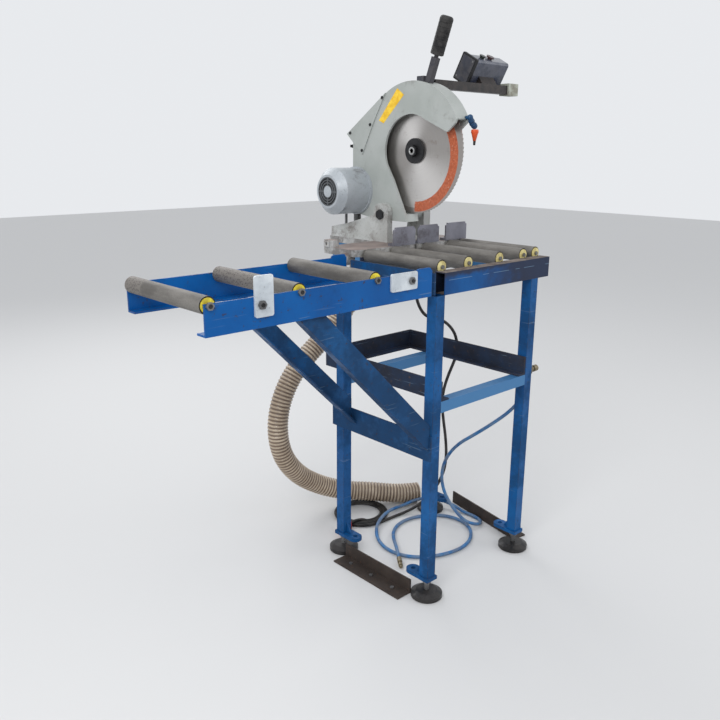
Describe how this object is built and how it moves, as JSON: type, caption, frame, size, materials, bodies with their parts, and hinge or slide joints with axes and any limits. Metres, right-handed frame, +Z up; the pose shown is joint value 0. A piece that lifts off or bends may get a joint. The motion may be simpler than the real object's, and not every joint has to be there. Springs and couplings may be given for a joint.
{
  "type": "chop saw",
  "caption": "Cut-off chop saw head with a spring-raised pivoting guard, motor and blade on a welded steel stand with a roller table, roller infeed and suction hose.",
  "frame": {"origin": "floor level, middle of the machine's outline without its hoses and cable", "axes": "+X along the feed from the infeed to the outfeed, +Y away from the operator towards the saw's pivot, +Z up"},
  "size_m": [1.503, 0.7797, 1.7558],
  "materials": {
    "blue_paint": "worn gloss paint",
    "side_paint": "worn gloss paint",
    "dirty_steel": "blue paint under brown grime",
    "zinc": "zinc plated, lightly stained",
    "bolt_steel": "zinc plated fasteners",
    "black_steel": "raw dark steel with rust",
    "roller_steel": "galvanised, scuffed",
    "bush_plastic": "pale yellow moulding",
    "rubber_black": "matt",
    "cast_grey": "machined and oily",
    "fence_grey": "machined",
    "head_grey": "satin paint",
    "motor_grey": "painted casting",
    "blade_steel": "ground, with a rusty coated ring",
    "black_oxide": "blackened steel",
    "steel": "turned steel",
    "belt_rubber": "matt",
    "black_paint": "satin black",
    "light_cast": "cast end piece",
    "grip_rubber": "matt grip",
    "box_plastic": "dark blue grey moulding",
    "flange_plastic": "black moulding",
    "green_plastic": "green button",
    "red_plastic": "red moulding",
    "joint_blue": "blue ball segments",
    "nozzle_orange": "orange nozzle",
    "hose_beige": "corrugated film hose",
    "air_blue": "blue air hose",
    "cable_black": "black sheath",
    "brass": "dull brass and steel"
  },
  "bodies": {
    "stand": {"air_coupling": "brass", "air_fitting": "brass", "air_hose": "air_blue", "braces": "side_paint", "cable_coil": "cable_black", "cable_gland": "flange_plastic", "cable_plug": "red_plastic", "cross_tubes": "blue_paint", "dust_outlet": "black_steel", "fence_plates": "fence_grey", "floor_angles": "black_steel", "foot_plates": "blue_paint", "fork": "cast_grey", "frame_bolts": "bolt_steel", "head_stops": "bolt_steel", "infeed_rails": "blue_paint", "legs": "blue_paint", "levelling_pads": "rubber_black", "levelling_spindles": "bolt_steel", "pivot_bolt": "steel", "power_cable": "cable_black", "roller_axles": "bolt_steel", "roller_bushes": "bush_plastic", "saw_table": "cast_grey", "shelf_angles": "dirty_steel", "side_plates": "side_paint", "suction_hose": "hose_beige", "table_rails": "blue_paint"},
    "head": {"head_casting": "head_grey", "chute_plate": "head_grey", "head_screws": "black_oxide", "bearings": "steel", "motor_housing": "motor_grey", "fan_cowl": "motor_grey", "belt_cover": "head_grey", "nozzle_joints": "joint_blue", "nozzle_tip": "nozzle_orange", "switch_arm": "black_paint", "arm_end_block": "light_cast", "handle_bar": "black_paint", "handle_grip": "grip_rubber", "switch_box": "box_plastic", "switch_flange": "flange_plastic", "drive_belt": "belt_rubber"},
    "blade_spindle": {"spindle": "steel", "saw_blade": "blade_steel", "blade_flanges": "black_oxide"},
    "motor_rotor": {"motor_rotor": "steel"},
    "start_button": {"start_button": "green_plastic"},
    "stop_button": {"stop_button": "red_plastic"},
    "stop_plate_left": {"stop_plate_left": "zinc"},
    "stop_plate_right": {"stop_plate_right": "zinc"},
    "table_roller_1": {"table_roller_1": "roller_steel"},
    "table_roller_2": {"table_roller_2": "roller_steel"},
    "table_roller_3": {"table_roller_3": "roller_steel"},
    "table_roller_4": {"table_roller_4": "roller_steel"},
    "table_roller_5": {"table_roller_5": "roller_steel"},
    "infeed_roller_1": {"infeed_roller_1": "roller_steel"},
    "infeed_roller_2": {"infeed_roller_2": "roller_steel"},
    "infeed_roller_3": {"infeed_roller_3": "roller_steel"}
  },
  "joints": [
    {"name": "head_pivot", "type": "hinge", "parent": "stand", "child": "head", "pos_m": [0.3465, 0.12075, 1.152], "axis": [1, 0, 0], "range_deg": [0, 42], "stiffness_Nm_per_rad": 60, "springref_deg": -40.11},
    {"name": "motor_spin", "type": "hinge", "parent": "head", "child": "motor_rotor", "pos_m": [0.2525, 0.26675, 1.225], "axis": [1, 0, 0], "continuous": true},
    {"name": "spindle_spin", "type": "hinge", "parent": "head", "child": "blade_spindle", "pos_m": [0.2935, 0.01475, 1.36], "axis": [1, 0, 0], "continuous": true},
    {"name": "stop_plate_left_turn", "type": "hinge", "parent": "stand", "child": "stop_plate_left", "pos_m": [-0.5975, -0.35425, 1.027], "axis": [0, 1, 0], "range_deg": [0, 90]},
    {"name": "stop_plate_right_turn", "type": "hinge", "parent": "stand", "child": "stop_plate_right", "pos_m": [-0.1075, -0.35425, 1.027], "axis": [0, 1, 0], "range_deg": [0, 90]},
    {"name": "start_button_press", "type": "slide", "parent": "head", "child": "start_button", "axis": [0, 0.4772, -0.8788], "range_m": [0, 0.004], "stiffness_N_per_m": 500, "springref_m": -0.002},
    {"name": "stop_button_press", "type": "slide", "parent": "head", "child": "stop_button", "axis": [0, 0.4772, -0.8788], "range_m": [0, 0.004], "stiffness_N_per_m": 500, "springref_m": -0.002},
    {"name": "table_roller_1_spin", "type": "hinge", "parent": "stand", "child": "table_roller_1", "pos_m": [0.0665, -0.15625, 1.041], "axis": [0, 1, 0], "continuous": true},
    {"name": "table_roller_2_spin", "type": "hinge", "parent": "stand", "child": "table_roller_2", "pos_m": [0.1855, -0.15625, 1.041], "axis": [0, 1, 0], "continuous": true},
    {"name": "table_roller_3_spin", "type": "hinge", "parent": "stand", "child": "table_roller_3", "pos_m": [0.3365, -0.15625, 1.041], "axis": [0, 1, 0], "continuous": true},
    {"name": "table_roller_4_spin", "type": "hinge", "parent": "stand", "child": "table_roller_4", "pos_m": [0.4595, -0.15625, 1.041], "axis": [0, 1, 0], "continuous": true},
    {"name": "table_roller_5_spin", "type": "hinge", "parent": "stand", "child": "table_roller_5", "pos_m": [0.5265, -0.15625, 1.041], "axis": [0, 1, 0], "continuous": true},
    {"name": "infeed_roller_1_spin", "type": "hinge", "parent": "stand", "child": "infeed_roller_1", "pos_m": [-0.7305, -0.17125, 1.041], "axis": [0, 1, 0], "continuous": true},
    {"name": "infeed_roller_2_spin", "type": "hinge", "parent": "stand", "child": "infeed_roller_2", "pos_m": [-0.4805, -0.17125, 1.041], "axis": [0, 1, 0], "continuous": true},
    {"name": "infeed_roller_3_spin", "type": "hinge", "parent": "stand", "child": "infeed_roller_3", "pos_m": [-0.2305, -0.17125, 1.041], "axis": [0, 1, 0], "continuous": true}
  ],
  "couplings": [
    {"joint": "spindle_spin", "follows": "motor_spin", "ratio": 1.1667}
  ]
}
